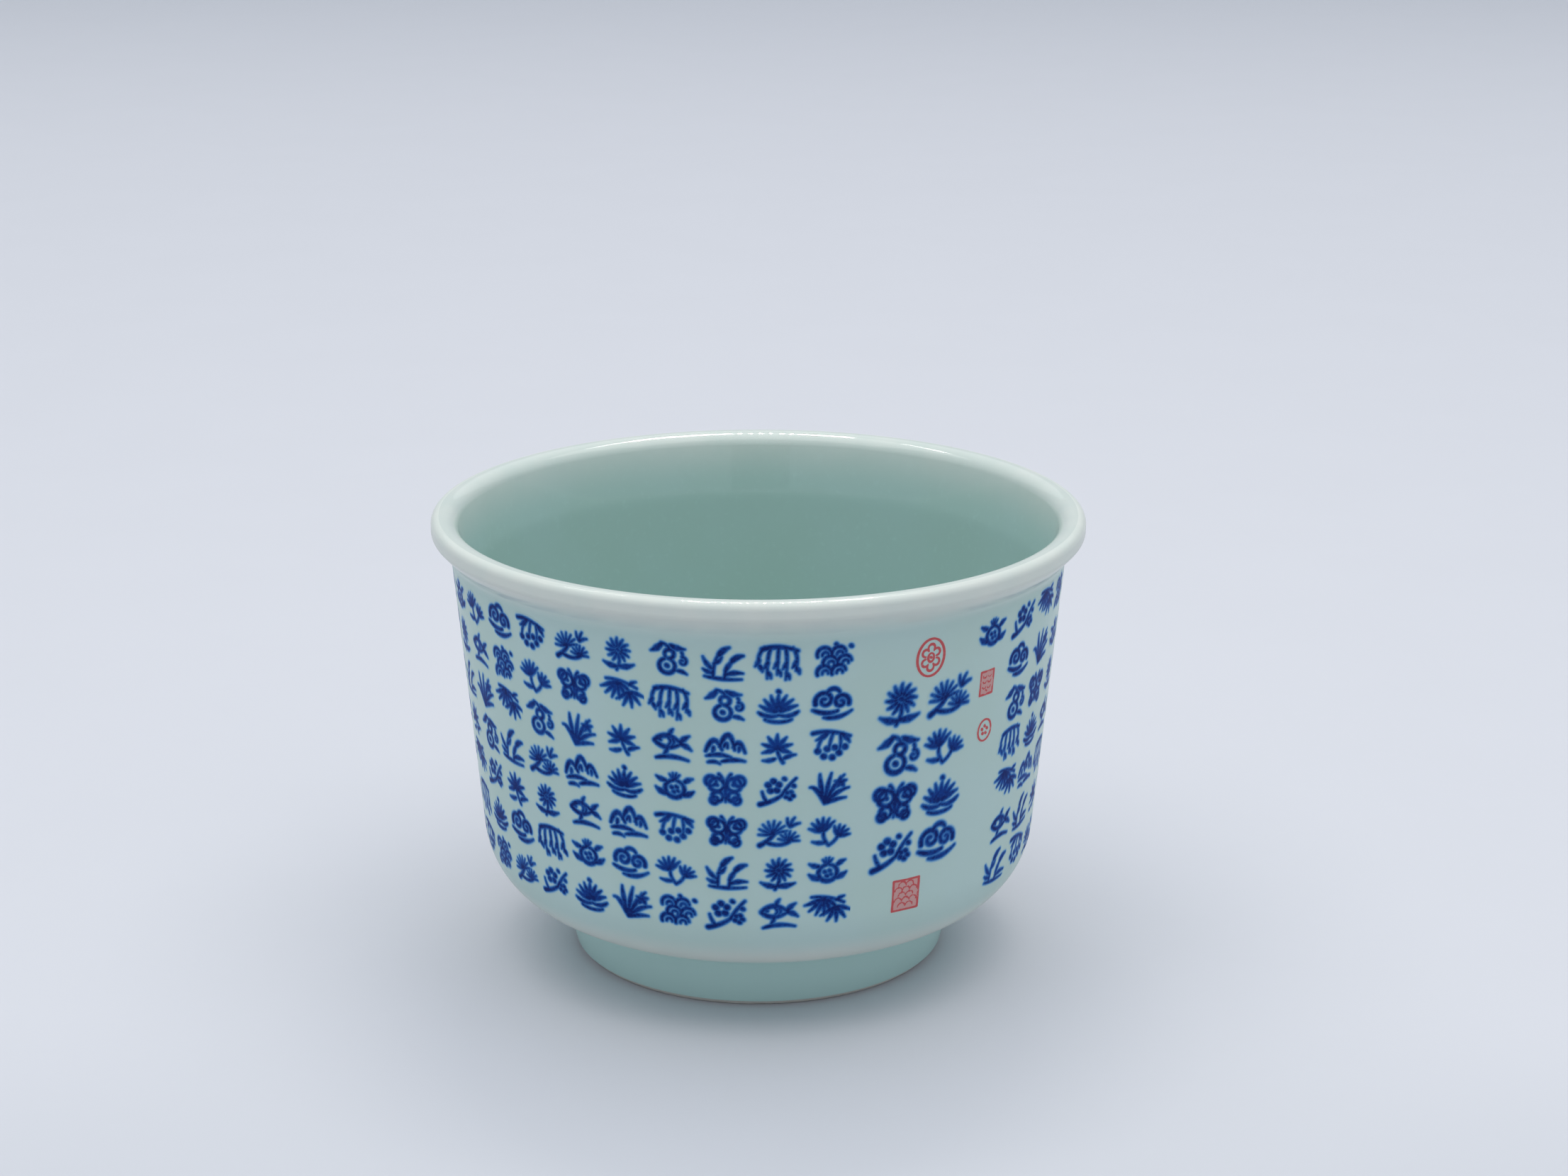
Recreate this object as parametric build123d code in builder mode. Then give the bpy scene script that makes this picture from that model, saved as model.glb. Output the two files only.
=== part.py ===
"""Handleless porcelain teacup: a luted bowl and foot ring, their glaze coats, painted columns and four seals.

Millimetres. +Z is up, the origin is the centre of the circle that the foot stands on, and the panel with
the larger marks and the seals is to the front right, with -Y as the front.
"""

import os
from math import degrees, radians

from build123d import *

# ---- Driving dimensions ---------------------------------------------------------------------------------

cup_height = 57.5  # table to the crest of the lip
wall_top_radius = 38.6  # glazed wall just under the lip
wall_base_radius = 34.5  # where the line of the wall would meet the line of the underside
wall_thickness = 2.2  # glazed, measured level
lip_overhang = 2.4  # the lip's edge past the wall
lip_depth = 4.7  # crest of the lip down to where the wall begins
lip_edge_height = 2.1  # upright edge of the lip, before its corners are rounded
flare_depth = 8.0  # crest of the lip down to where the inside begins to open out
flare_spread = 1.1  # how far the inside opens out by the crest, past the line of the wall
foot_height = 7.2  # table to where the foot meets the underside
foot_base_radius = 23.6  # outside, at the table
foot_taper = 1.9  # how much wider the foot is under the bowl
foot_land = 2.7  # width of the standing face, with the glaze that frames it
underside_rise = 1.95  # how far the underside climbs from the foot to the wall's line
well_depth = 6.3  # hollow inside the foot
well_draft = 0.7  # how much narrower the well is at its ceiling
floor_thickness = 4.0  # well ceiling to the floor of the cup

glaze_thickness = 0.3
bare_band = 0.7  # wiped clean of glaze above the table
paint_thickness = 0.1

lip_inner_round_wanted = 3.0
flare_round = 12.0
lip_edge_round = 1.0
lip_lower_round = 0.95
lip_neck_round = 2.2
shoulder_round = 10.2  # wall into underside
inner_corner_round = 8.0
foot_neck_round = 0.9
well_round = 1.1
standing_round = 0.5

# Painted marks, by angle from the front (positive towards +X) and height above the table
row_count = 7
top_row_drop = 3.2  # from the top of the wall down to the middle of the top row
lowest_row_rise = 8.15  # from the height of the shoulder's corner up to the middle of the lowest row
column_count = 35  # the last column holds its top mark alone
first_column_angle = 13.2
last_column_angle = 46.5 - 360.0
mark_gap = 1.0  # bare glaze between one mark and the next, across and up

title_rows = 4
title_row_share = 1.18  # height of a title row, in rows
title_rise = 1.24  # lowest title row above the lowest row, in rows
title_mark_width = 6.0
title_column_angles = {"title_column_left": 26.2, "title_column_right": 36.7}

# Width and height of each seal, its angle, and its height above the lowest row, in rows
seals = {
    "oval_seal": ("oval", (4.3, 5.2), (31.7, 5.77)),
    "large_square_seal": ("square", (3.9, 4.3), (29.9, 0.1)),
    "small_square_seal": ("square", (2.6, 3.3), (46.0, 4.8)),
    "round_seal": ("oval", (2.7, 3.1), (46.7, 3.64)),
}

# ---- Worked out from them -------------------------------------------------------------------------------

rim_radius = wall_top_radius + lip_overhang
wall_top_height = cup_height - lip_depth
lip_edge_base = cup_height - lip_edge_height
shoulder_height = foot_height + underside_rise
floor_height = well_depth + floor_thickness
inner_top_radius = wall_top_radius - wall_thickness
wall_lean = (wall_top_radius - wall_base_radius) / (wall_top_height - shoulder_height)
inner_base_radius = wall_base_radius - wall_thickness + wall_lean * (floor_height - shoulder_height)
inner_rim_radius = inner_top_radius + wall_lean * lip_depth + flare_spread
flare_radius = inner_top_radius + wall_lean * (lip_depth - flare_depth)
lip_inner_round = min(lip_inner_round_wanted, rim_radius - inner_rim_radius - lip_edge_round)
crest_radius = rim_radius - lip_edge_round
foot_top_radius = foot_base_radius + foot_taper
foot_draft = foot_taper / foot_height
well_base_radius = foot_base_radius - foot_land
well_ceiling_radius = well_base_radius - well_draft
luting_height = well_depth - well_round - glaze_thickness  # where the foot ring is joined to the bowl
mid_floor_height = (floor_height + shoulder_height) / 2  # a line inside the clay, between the two coats
mid_base_radius = (inner_base_radius + wall_base_radius) / 2
mid_top_radius = (inner_top_radius + wall_top_radius) / 2
mid_lip_height = cup_height - lip_edge_height * 0.6
mid_corner_round = (inner_corner_round + shoulder_round) / 2
mid_foot_radius = foot_base_radius - foot_land / 2
beyond = 5.0  # how far helper outlines run past the axis and the table
reach = rim_radius + beyond

wall_middle_radius = (wall_top_radius + wall_base_radius) / 2
lowest_row_height = shoulder_height + lowest_row_rise
row_pitch = (wall_top_height - top_row_drop - lowest_row_height) / (row_count - 1)
column_step = (last_column_angle - first_column_angle) / (column_count - 1)
mark_width = wall_middle_radius * radians(-column_step) - mark_gap
mark_height = row_pitch - mark_gap
title_row_pitch = title_row_share * row_pitch
title_lowest_height = lowest_row_height + title_rise * row_pitch
title_mark_height = title_row_pitch - mark_gap

# The foot's sides are carried on below the table, so that the glaze keeps its thickness down to the bare band
foot_outer_below = foot_base_radius - foot_draft * beyond
foot_inner_below = well_base_radius + well_draft / well_depth * beyond

# ---- Half sections, drawn in the XZ plane --------------------------------------------------------------

corners = {
    "floor": ((inner_base_radius, floor_height), inner_corner_round),
    "flare": ((flare_radius, cup_height - flare_depth), flare_round),
    "lip_inner": ((inner_rim_radius, cup_height), lip_inner_round),
    "lip_edge": ((rim_radius, cup_height), lip_edge_round),
    "lip_lower": ((rim_radius, lip_edge_base), lip_lower_round),
    "lip_neck": ((wall_top_radius, wall_top_height), lip_neck_round),
    "shoulder": ((wall_base_radius, shoulder_height), shoulder_round),
    "foot_neck": ((foot_top_radius, foot_height), foot_neck_round),
    "foot_outer": ((foot_outer_below, -beyond), 0),
    "foot_inner": ((foot_inner_below, -beyond), 0),
    "well": ((well_ceiling_radius, well_depth), well_round),
}


def corner_points():
    """The outline's corners, from the floor of the cup round the lip to the foot's well."""
    return [place for place, _ in corners.values()]


with BuildSketch(Plane.XZ) as envelope:
    with BuildLine():
        Polyline(
            (-beyond, floor_height),
            *corner_points(),
            (-beyond, well_depth),
            close=True,
        )
    make_face()
    for place, radius in corners.values():
        if radius > 0:
            corner = envelope.vertices().sort_by_distance(Vector(*place))[0]
            fillet(corner, radius=radius)

with BuildSketch(Plane.XZ) as clay_core:
    add(envelope.sketch)
    offset(amount=-glaze_thickness, mode=Mode.REPLACE)

with BuildSketch(Plane.XZ) as clay_section:
    add(clay_core.sketch)
    with Locations((reach / 2, cup_height / 2)):
        Rectangle(reach, cup_height, mode=Mode.INTERSECT)

with BuildSketch(Plane.XZ) as coat_section:
    add(envelope.sketch)
    add(clay_core.sketch, mode=Mode.SUBTRACT)
    with Locations((reach / 2, bare_band + cup_height / 2)):
        Rectangle(reach, cup_height, mode=Mode.INTERSECT)

# All that lies inside a line drawn through the middle of the clay, up to the crest of the lip
with BuildSketch(Plane.XZ) as inner_side:
    with BuildLine():
        Polyline(
            (0, mid_floor_height),
            (mid_base_radius, mid_floor_height),
            (mid_top_radius, wall_top_height),
            (crest_radius, mid_lip_height),
            (crest_radius, cup_height + beyond),
            (0, cup_height + beyond),
            close=True,
        )
    make_face()
    base_corner = Vector(mid_base_radius, mid_floor_height)
    fillet(inner_side.vertices().sort_by_distance(base_corner)[0], radius=mid_corner_round)

with BuildSketch(Plane.XZ) as well_side:
    with Locations((mid_foot_radius / 2, mid_floor_height / 2)):
        Rectangle(mid_foot_radius, mid_floor_height)

with BuildSketch(Plane.XZ) as paint_section:
    add(envelope.sketch)
    offset(amount=paint_thickness, mode=Mode.REPLACE)
    add(envelope.sketch, mode=Mode.SUBTRACT)
    add(inner_side.sketch, mode=Mode.SUBTRACT)


# ---- Clay -----------------------------------------------------------------------------------------------


def save(piece, name):
    """Labels a finished piece and writes it under the same name."""
    piece.part.label = name
    export_step(piece.part, f"parts/{name}.step")


os.makedirs("parts", exist_ok=True)

with BuildPart() as bowl_body:
    with BuildSketch(Plane.XZ):
        add(clay_section.sketch)
        with Locations((reach / 2, luting_height + cup_height / 2)):
            Rectangle(reach, cup_height, mode=Mode.INTERSECT)
    revolve(axis=Axis.Z)
save(bowl_body, "bowl_body")

with BuildPart() as foot_ring:
    with BuildSketch(Plane.XZ):
        add(clay_section.sketch)
        with Locations((reach / 2, luting_height / 2)):
            Rectangle(reach, luting_height, mode=Mode.INTERSECT)
    revolve(axis=Axis.Z)
    fillet(foot_ring.edges().group_by(Axis.Z)[0], radius=standing_round)
save(foot_ring, "foot_ring")

# ---- Glaze ----------------------------------------------------------------------------------------------

with BuildPart() as inner_glaze:
    with BuildSketch(Plane.XZ):
        add(coat_section.sketch)
        add(inner_side.sketch, mode=Mode.INTERSECT)
    revolve(axis=Axis.Z)
save(inner_glaze, "inner_glaze")

with BuildPart() as outer_glaze:
    with BuildSketch(Plane.XZ):
        add(coat_section.sketch)
        add(inner_side.sketch, mode=Mode.SUBTRACT)
        add(well_side.sketch, mode=Mode.SUBTRACT)
    revolve(axis=Axis.Z)
save(outer_glaze, "outer_glaze")

with BuildPart() as well_glaze:
    with BuildSketch(Plane.XZ):
        add(coat_section.sketch)
        add(well_side.sketch, mode=Mode.INTERSECT)
    revolve(axis=Axis.Z)
save(well_glaze, "well_glaze")

# ---- Painting -------------------------------------------------------------------------------------------
# Colour is a thin skin on the glazed wall. Marks in a column are bands of that skin, turned through the
# mark's width. A seal is cut out, facing +X, by its outline pushed through the skin.

seal_round = 0.35
facing_x = -90.0  # angle from the front of a mark that faces +X


def painted_bands(width, height, middles):
    """Marks of one width and height, one above another, facing +X."""
    arc = degrees(width / wall_middle_radius)
    with BuildPart() as bands:
        with BuildSketch(Plane.XZ.rotated((0, 0, -arc / 2))):
            add(paint_section.sketch)
            with Locations([(reach - beyond, middle) for middle in middles]):
                Rectangle(reach - foot_top_radius, height, mode=Mode.INTERSECT)
        revolve(axis=Axis.Z, revolution_arc=arc)
    return bands


def painted_seal(shape, size, middle):
    """A seal's field, facing +X."""
    width, height = size
    arc = degrees(2 * width / wall_middle_radius)
    with BuildPart() as field:
        with BuildSketch(Plane.XZ.rotated((0, 0, -arc / 2))):
            add(paint_section.sketch)
            with Locations((reach - beyond, middle)):
                Rectangle(reach - foot_top_radius, 2 * height, mode=Mode.INTERSECT)
        revolve(axis=Axis.Z, revolution_arc=arc)
        with BuildSketch(Plane.YZ.offset(foot_top_radius)):
            with Locations((0, middle)):
                if shape == "oval":
                    Ellipse(width / 2, height / 2)
                else:
                    RectangleRounded(width, height, seal_round)
        extrude(amount=reach - foot_top_radius, mode=Mode.INTERSECT)
    return field


def turned_to(marks, angle):
    """A copy of the marks, turned from +X to an angle from the front."""
    with BuildPart() as placed:
        with Locations(Location((0, 0, 0), (0, 0, angle + facing_x))):
            add(marks.part)
    return placed


row_heights = [lowest_row_height + row * row_pitch for row in range(row_count)]
full_column = painted_bands(mark_width, mark_height, row_heights)
last_column = painted_bands(mark_width, mark_height, row_heights[-1:])
for number in range(column_count):
    marks = last_column if number == column_count - 1 else full_column
    painted = turned_to(marks, first_column_angle + number * column_step)
    save(painted, f"cobalt_column_{number + 1:02d}")

title_heights = [title_lowest_height + row * title_row_pitch for row in range(title_rows)]
title_column = painted_bands(title_mark_width, title_mark_height, title_heights)
for name, angle in title_column_angles.items():
    save(turned_to(title_column, angle), name)

for name, (shape, size, (angle, rows_up)) in seals.items():
    middle = lowest_row_height + rows_up * row_pitch
    save(turned_to(painted_seal(shape, size, middle), angle), name)
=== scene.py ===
"""A handleless celadon teacup with a blue and red painted wall, standing on a pale sweep.

The packed clay stays as it is. Glaze coats are turned round it from the cup's outline, and each painted
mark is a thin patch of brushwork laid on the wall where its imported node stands. The marks are small
pictures of plants, water and animals.
"""

import logging
import math
import random
from collections.abc import Iterator, Sequence
from dataclasses import dataclass, field
from enum import Enum

import bmesh
import bpy
import numpy as np
from mathutils import Matrix, Vector


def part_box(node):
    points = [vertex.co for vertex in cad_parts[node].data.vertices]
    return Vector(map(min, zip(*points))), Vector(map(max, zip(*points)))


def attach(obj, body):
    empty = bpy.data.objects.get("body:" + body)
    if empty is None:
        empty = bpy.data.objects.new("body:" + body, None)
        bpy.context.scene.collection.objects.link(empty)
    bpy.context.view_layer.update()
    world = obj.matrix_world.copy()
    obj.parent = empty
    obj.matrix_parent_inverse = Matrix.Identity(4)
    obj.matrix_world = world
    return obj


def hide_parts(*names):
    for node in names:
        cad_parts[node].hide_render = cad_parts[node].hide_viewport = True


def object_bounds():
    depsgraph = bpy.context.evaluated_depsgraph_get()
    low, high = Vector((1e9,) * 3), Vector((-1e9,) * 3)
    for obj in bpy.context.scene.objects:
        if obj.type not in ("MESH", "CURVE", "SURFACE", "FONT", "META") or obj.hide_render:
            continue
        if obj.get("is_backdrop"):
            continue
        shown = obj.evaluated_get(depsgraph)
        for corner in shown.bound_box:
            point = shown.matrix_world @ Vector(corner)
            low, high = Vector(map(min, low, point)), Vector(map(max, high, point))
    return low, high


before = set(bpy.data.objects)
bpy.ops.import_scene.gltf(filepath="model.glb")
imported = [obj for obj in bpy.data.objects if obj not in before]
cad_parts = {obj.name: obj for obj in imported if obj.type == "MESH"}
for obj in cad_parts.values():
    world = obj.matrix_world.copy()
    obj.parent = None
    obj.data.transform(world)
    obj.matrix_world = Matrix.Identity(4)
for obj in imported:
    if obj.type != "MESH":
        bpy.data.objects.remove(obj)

log = logging.getLogger("teacup")

MM = 0.001
CAD_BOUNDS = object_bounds()
WELD_DISTANCE = 2e-6
ON_AXIS = 1e-6
SMOOTH_ANGLE = math.radians(40.0)

Colour = tuple[float, float, float]
Outline = list[tuple[float, float]]
Socket = bpy.types.NodeSocket
Material = bpy.types.Material
Strokes = list[np.ndarray]
Size = tuple[float, float]


class Body(Enum):
    """The bodies that pieces ride on."""

    CUP = "root"


class Slot(Enum):
    """The record's material slots."""

    CLAY = "porcelain_clay"
    GLAZE = "celadon_glaze"
    COBALT = "cobalt_blue"
    ENAMEL = "red_enamel"


# ---- Outline of the glazed cup --------------------------------------------------------------------------


@dataclass(frozen=True)
class CupOutline:
    """The glazed cup's half outline, in millimetres, as it was turned and dipped."""

    rim_radius: float
    cup_height: float
    lip_overhang: float = 2.4
    lip_depth: float = 4.7
    lip_edge_height: float = 2.1
    flare_depth: float = 8.0
    flare_spread: float = 1.1
    flare_round: float = 12.0
    wall_base_radius: float = 34.5
    wall_thickness: float = 2.2
    foot_height: float = 7.2
    foot_base_radius: float = 23.6
    foot_taper: float = 1.9
    foot_land: float = 2.7
    underside_rise: float = 1.95
    well_depth: float = 6.3
    well_draft: float = 0.7
    floor_thickness: float = 4.0
    bare_band: float = 0.7
    lip_inner_round: float = 3.0
    lip_edge_round: float = 1.0
    lip_lower_round: float = 0.95
    lip_neck_round: float = 2.2
    shoulder_round: float = 10.2
    inner_corner_round: float = 8.0
    foot_neck_round: float = 0.9
    well_round: float = 1.1
    arc_step: float = math.radians(4.0)
    run_step: float = 1.2

    @property
    def wall_top(self) -> tuple[float, float]:
        """Where the wall meets the lip."""
        return self.rim_radius - self.lip_overhang, self.cup_height - self.lip_depth

    @property
    def shoulder(self) -> tuple[float, float]:
        """Where the wall's line meets the underside's."""
        return self.wall_base_radius, self.foot_height + self.underside_rise

    @property
    def crest(self) -> tuple[float, float]:
        """Where the inner and the outer coat meet on the lip."""
        return self.rim_radius - self.lip_edge_round, self.cup_height

    def outer(self) -> Outline:
        """The outside, from the crest of the lip down to the foot's bare band."""
        top_radius, top_height = self.wall_top
        band_radius = self.foot_base_radius + self.foot_taper * self.bare_band / self.foot_height
        return self._rounded(
            [
                (self.crest, 0.0),
                ((self.rim_radius, self.cup_height), self.lip_edge_round),
                ((self.rim_radius, self.cup_height - self.lip_edge_height), self.lip_lower_round),
                ((top_radius, top_height), self.lip_neck_round),
                (self.shoulder, self.shoulder_round),
                ((self.foot_base_radius + self.foot_taper, self.foot_height), self.foot_neck_round),
                ((band_radius, self.bare_band), 0.0),
            ]
        )

    def inner(self) -> Outline:
        """The inside, from the middle of the floor up to the crest of the lip."""
        top_radius, top_height = self.wall_top
        base_radius, base_height = self.shoulder
        lean = (top_radius - base_radius) / (top_height - base_height)
        floor_height = self.well_depth + self.floor_thickness
        floor_radius = base_radius - self.wall_thickness + lean * (floor_height - base_height)
        flare_height = self.cup_height - self.flare_depth
        flare_radius = top_radius - self.wall_thickness + lean * (flare_height - top_height)
        rim_radius = top_radius - self.wall_thickness + lean * self.lip_depth + self.flare_spread
        room = self.crest[0] - rim_radius
        return self._rounded(
            [
                ((0.0, floor_height), 0.0),
                ((floor_radius, floor_height), self.inner_corner_round),
                ((flare_radius, flare_height), self.flare_round),
                ((rim_radius, self.cup_height), min(self.lip_inner_round, room)),
                (self.crest, 0.0),
            ]
        )

    def well(self) -> Outline:
        """The hollow of the foot, from the bare band up to the middle of its ceiling."""
        base_radius = self.foot_base_radius - self.foot_land
        band_radius = base_radius - self.well_draft * self.bare_band / self.well_depth
        return self._rounded(
            [
                ((band_radius, self.bare_band), 0.0),
                ((base_radius - self.well_draft, self.well_depth), self.well_round),
                ((0.0, self.well_depth), 0.0),
            ]
        )

    def _rounded(self, corners: Sequence[tuple[tuple[float, float], float]]) -> Outline:
        """Rounds an outline's corners and divides its straight runs.

        Args:
            corners: Each corner's radius and height, and its rounding.

        Returns:
            Points along the rounded outline.
        """
        bends: list[list[Vector]] = []
        for index, (place, rounding) in enumerate(corners):
            here = Vector(place)
            if index in (0, len(corners) - 1) or rounding <= 0:
                bends.append([here])
                continue
            back = (Vector(corners[index - 1][0]) - here).normalized()
            ahead = (Vector(corners[index + 1][0]) - here).normalized()
            half = back.angle(ahead) / 2
            centre = here + (back + ahead).normalized() * rounding / math.sin(half)
            start = here + back * rounding / math.tan(half) - centre
            turn = math.pi - 2 * half
            way = 1.0 if start.x * ahead.y - start.y * ahead.x > 0 else -1.0
            steps = max(3, math.ceil(turn / self.arc_step))
            turns = [Matrix.Rotation(way * turn * k / steps, 2) for k in range(steps + 1)]
            bends.append([centre + step @ start for step in turns])
        points = [bends[0][0]]
        for bend in bends[1:]:
            run = bend[0] - points[-1]
            pieces = max(1, math.ceil(run.length / self.run_step))
            points += [points[-1] + run * k / pieces for k in range(1, pieces)]
            points += bend
        return [(point.x, point.y) for point in points]


# ---- Modelling helpers ----------------------------------------------------------------------------------


def deselect_all() -> None:
    """Leaves nothing selected in object mode."""
    bpy.ops.object.select_all(action="DESELECT")


def name_piece(piece: bpy.types.Object, name: str) -> bpy.types.Object:
    """Names a piece and its mesh alike, and returns the piece."""
    piece.name = name
    piece.data.name = name
    return piece


def dress(piece: bpy.types.Object, material: Material, slot: Slot, stands_for: Sequence[str]) -> None:
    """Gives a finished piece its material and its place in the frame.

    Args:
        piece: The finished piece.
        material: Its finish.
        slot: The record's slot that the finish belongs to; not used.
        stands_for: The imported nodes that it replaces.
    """
    piece.data.materials.clear()
    piece.data.materials.append(material)
    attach(piece, Body.CUP.value)
    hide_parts(*stands_for)
    log.info("%s: %d faces, for %s", piece.name, len(piece.data.polygons), ", ".join(stands_for))


def standing_plane(name: str, place: Sequence[float], size: Size, tilt: float) -> bpy.types.Object:
    """Makes a plane that only reflections show.

    Args:
        name: Its name.
        place: Its middle, in metres.
        size: Its width and height.
        tilt: How far it is turned up from lying flat.

    Returns:
        The plane.
    """
    deselect_all()
    bpy.ops.mesh.primitive_plane_add(size=1.0, rotation=(tilt, 0.0, 0.0))
    plane = name_piece(bpy.context.object, name)
    plane.scale = (size[0], size[1], 1.0)
    plane.location = place
    bpy.ops.object.transform_apply(location=True, rotation=True, scale=True)
    plane.visible_camera = plane.visible_diffuse = plane.visible_shadow = False
    return plane


def turned_shell(
    name: str, face: Outline, depth: float, steps: int, back_every: int = 3
) -> bpy.types.Object:
    """Turns a coat of even depth round the cup's axis.

    Args:
        name: The piece's name.
        face: The coat's visible outline, in millimetres, walked with the clay on its right.
        depth: How far the coat's back lies behind its face.
        steps: Spin steps in the full turn.
        back_every: How many points of the face share one of the back, which nobody sees.

    Returns:
        The closed coat.
    """
    points = [Vector(point) for point in face]
    back: list[Vector] = []
    for index, point in enumerate(points):
        if index % back_every and index != len(points) - 1:
            continue
        along = points[min(index + 1, len(points) - 1)] - points[max(index - 1, 0)]
        side = Vector((along.y, -along.x)).normalized()
        sunk = point + side * depth
        if point.x < ON_AXIS:
            sunk.x = 0.0
        back.append(sunk)
    loop = points + back[::-1]
    deselect_all()
    bpy.ops.mesh.primitive_circle_add(vertices=len(loop), radius=0.01, fill_type="NOTHING")
    piece = name_piece(bpy.context.object, name)
    for vertex, point in zip(piece.data.vertices, loop):
        vertex.co = (point.x * MM, 0.0, point.y * MM)
    bpy.ops.object.mode_set(mode="EDIT")
    bpy.ops.mesh.select_all(action="SELECT")
    bpy.ops.mesh.spin(steps=steps, angle=math.tau, center=(0.0, 0.0, 0.0), axis=(0.0, 0.0, 1.0))
    bpy.ops.mesh.select_all(action="SELECT")
    bpy.ops.mesh.remove_doubles(threshold=WELD_DISTANCE)
    bpy.ops.mesh.delete_loose(use_verts=True, use_edges=True, use_faces=False)
    bpy.ops.mesh.select_all(action="SELECT")
    bpy.ops.mesh.normals_make_consistent(inside=False)
    bpy.ops.object.mode_set(mode="OBJECT")
    bpy.ops.object.shade_smooth_by_angle(angle=SMOOTH_ANGLE)
    return piece


# ---- Finishes -------------------------------------------------------------------------------------------


class Shader:
    """A material's node tree, built a node at a time."""

    def __init__(self, name: str) -> None:
        """Starts an empty material.

        Args:
            name: The material's name.
        """
        self.material = bpy.data.materials.new(name)
        self.material.use_nodes = True
        self.tree = self.material.node_tree
        self.tree.nodes.clear()
        self._place: Socket | None = None

    def node(self, kind: str, **settings: object) -> bpy.types.Node:
        """Adds a node and sets its properties."""
        made = self.tree.nodes.new(kind)
        for key, value in settings.items():
            setattr(made, key, value)
        return made

    def feed(self, socket: Socket, value: object) -> None:
        """Links a socket to another, or sets its constant."""
        if isinstance(value, bpy.types.NodeSocket):
            self.tree.links.new(value, socket)
        elif isinstance(value, tuple) and socket.type == "RGBA":
            socket.default_value = (*value, 1.0)
        else:
            socket.default_value = value

    @property
    def place(self) -> Socket:
        """Object coordinates, in metres."""
        if self._place is None:
            self._place = self.node("ShaderNodeTexCoord").outputs["Object"]
        return self._place

    def height(self) -> Socket:
        """The height above the table, in metres."""
        parts = self.node("ShaderNodeSeparateXYZ")
        self.feed(parts.inputs[0], self.place)
        return parts.outputs["Z"]

    def noise(self, size: float, detail: float = 3.0, roughness: float = 0.5) -> Socket:
        """Soft noise whose lumps have a given size.

        Args:
            size: Size of a lump, in metres.
            detail: Octaves.
            roughness: How strong the finer octaves are.

        Returns:
            The noise, about 0 to 1.
        """
        made = self.node("ShaderNodeTexNoise")
        self.feed(made.inputs["Vector"], self.place)
        made.inputs["Scale"].default_value = 1.0 / size
        made.inputs["Detail"].default_value = detail
        made.inputs["Roughness"].default_value = roughness
        return made.outputs["Fac"]

    def ramp(
        self, value: Socket, low: float, high: float, to_low: float = 0.0, to_high: float = 1.0
    ) -> Socket:
        """Maps a value from one range smoothly onto another.

        Args:
            value: What is mapped.
            low: Start of its range.
            high: End of its range.
            to_low: Result at the start.
            to_high: Result at the end.

        Returns:
            The mapped value.
        """
        made = self.node("ShaderNodeMapRange", interpolation_type="SMOOTHSTEP")
        for key, number in (("From Min", low), ("From Max", high), ("To Min", to_low), ("To Max", to_high)):
            made.inputs[key].default_value = number
        self.feed(made.inputs["Value"], value)
        return made.outputs["Result"]

    def maths(self, operation: str, first: object, second: object = 0.0) -> Socket:
        """Combines two values, held between 0 and 1 when they are multiplied or added."""
        made = self.node("ShaderNodeMath", operation=operation, use_clamp=operation in ("ADD", "MULTIPLY"))
        self.feed(made.inputs[0], first)
        self.feed(made.inputs[1], second)
        return made.outputs[0]

    def mix(self, share: object, first: object, second: object) -> Socket:
        """Mixes two colours."""
        made = self.node("ShaderNodeMix", data_type="RGBA")
        self.feed(made.inputs["Factor"], share)
        self.feed(made.inputs[6], first)
        self.feed(made.inputs[7], second)
        return made.outputs[2]

    def bump(self, height: Socket, distance: float, strength: float, after: Socket | None = None) -> Socket:
        """Turns a height into a normal.

        Args:
            height: The height, 0 to 1.
            distance: What a height of 1 is, in metres.
            strength: Share of the effect.
            after: A normal that this one is added to.

        Returns:
            The bumped normal.
        """
        made = self.node("ShaderNodeBump")
        made.inputs["Strength"].default_value = strength
        made.inputs["Distance"].default_value = distance
        self.feed(made.inputs["Height"], height)
        if after is not None:
            self.feed(made.inputs["Normal"], after)
        return made.outputs["Normal"]

    def finish(self, **sockets: object) -> Material:
        """Adds the principled shader with its sockets set or linked, and returns the material."""
        shader = self.node("ShaderNodeBsdfPrincipled")
        for key, value in sockets.items():
            self.feed(shader.inputs[key.replace("_", " ")], value)
        output = self.node("ShaderNodeOutputMaterial")
        self.feed(output.inputs["Surface"], shader.outputs["BSDF"])
        return self.material


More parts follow.
